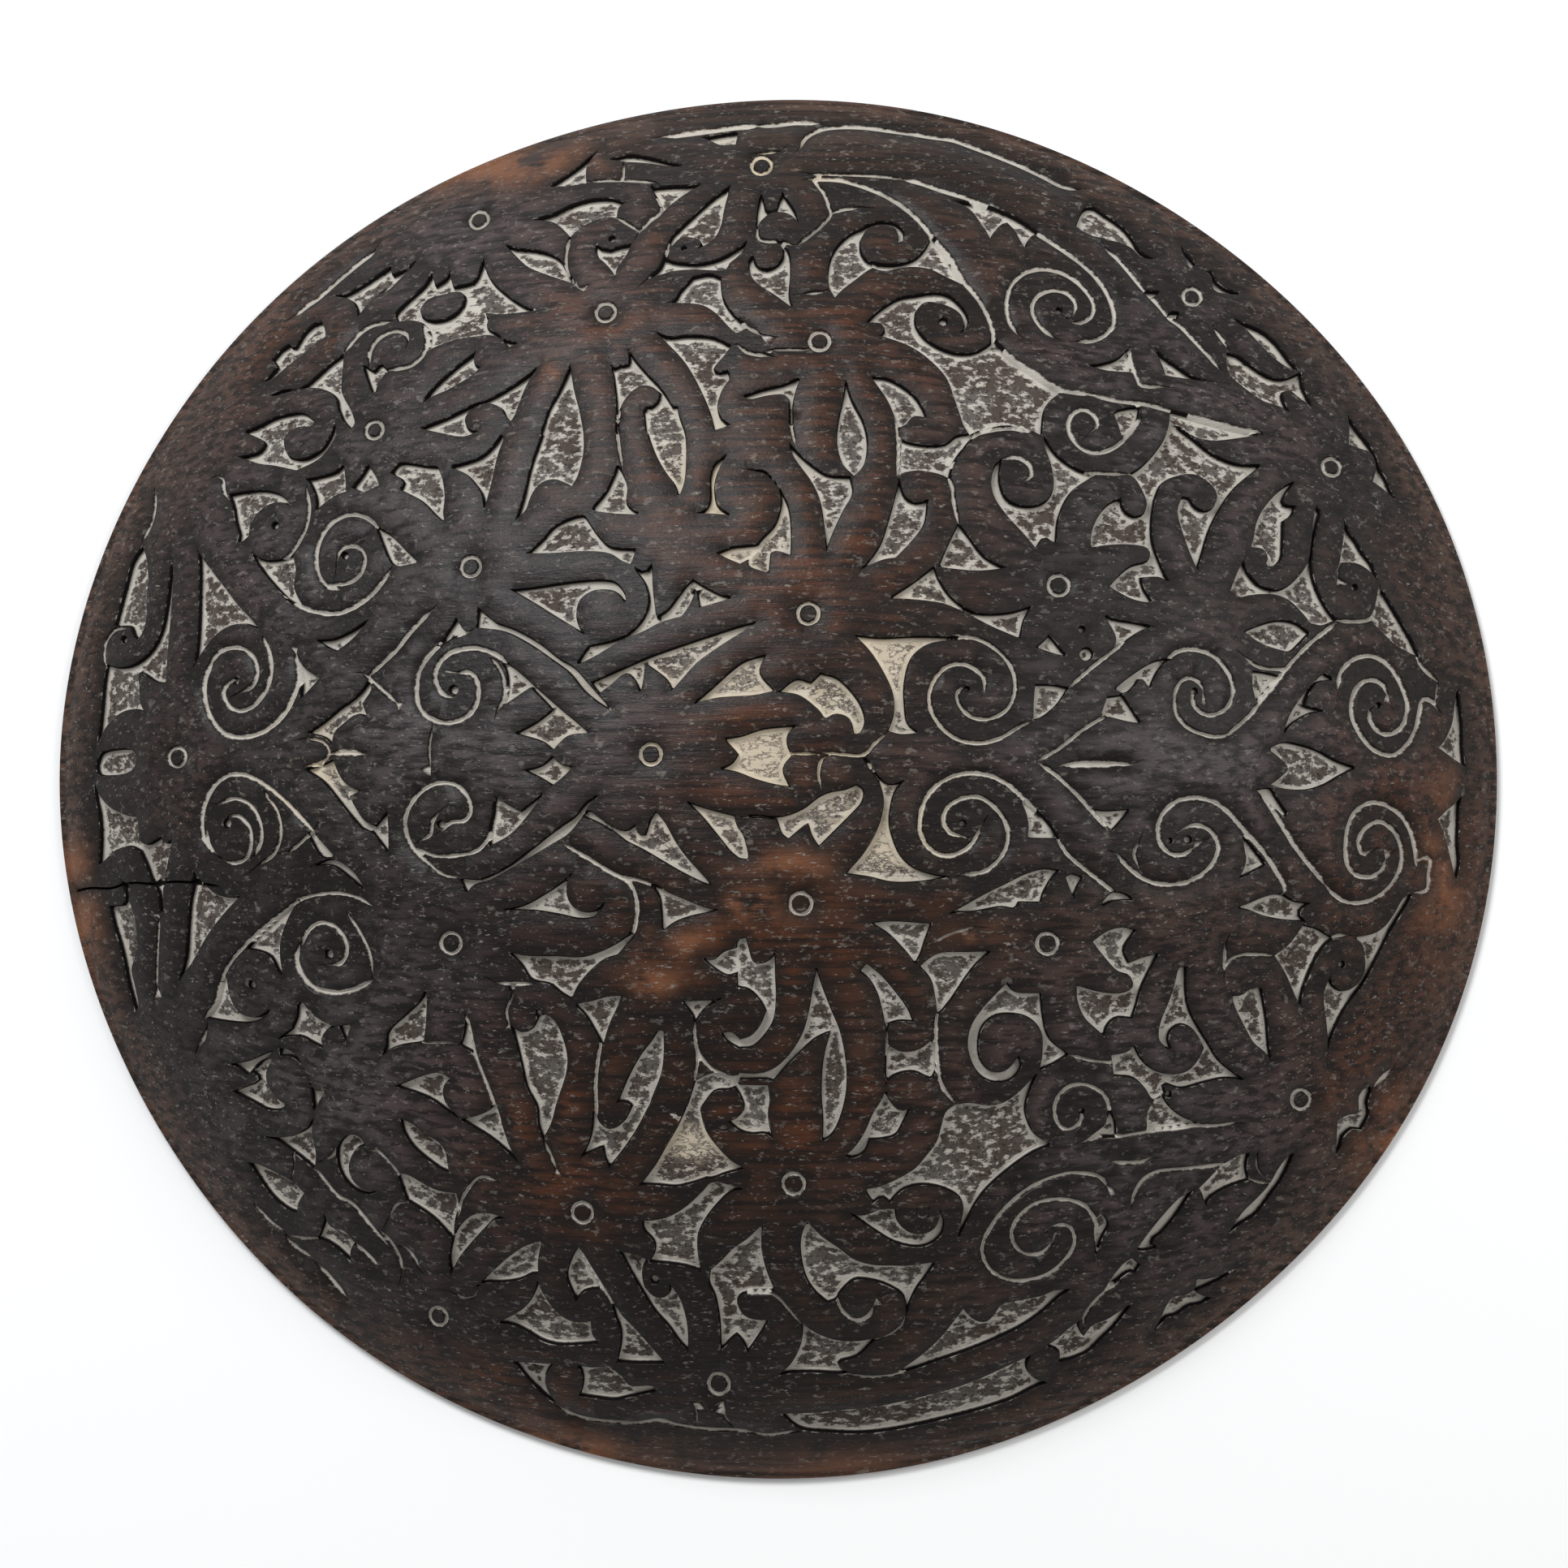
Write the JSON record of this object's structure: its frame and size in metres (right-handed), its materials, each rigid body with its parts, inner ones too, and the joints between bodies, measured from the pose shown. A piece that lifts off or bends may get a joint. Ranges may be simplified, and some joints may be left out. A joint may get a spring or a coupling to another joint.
{
  "type": "round carved wooden shield",
  "caption": "Domed round shield carved from one slab of dark wood, with scrollwork in low relief and a bar grip in its hollow back.",
  "frame": {"origin": "centre of the outline, on the plane of the flat rim that the shield lies on", "axes": "+Z out of the dome's face, +X along the wood's grain and the grip, +Y towards the ornament's upper edge"},
  "size_m": [0.4828, 0.4632, 0.094],
  "materials": {
    "carved_wood": "old dark hardwood, worn smooth on the high surfaces, with pale lime left in the cuts"
  },
  "bodies": {
    "root": {"shield": "carved_wood"}
  },
  "joints": []
}
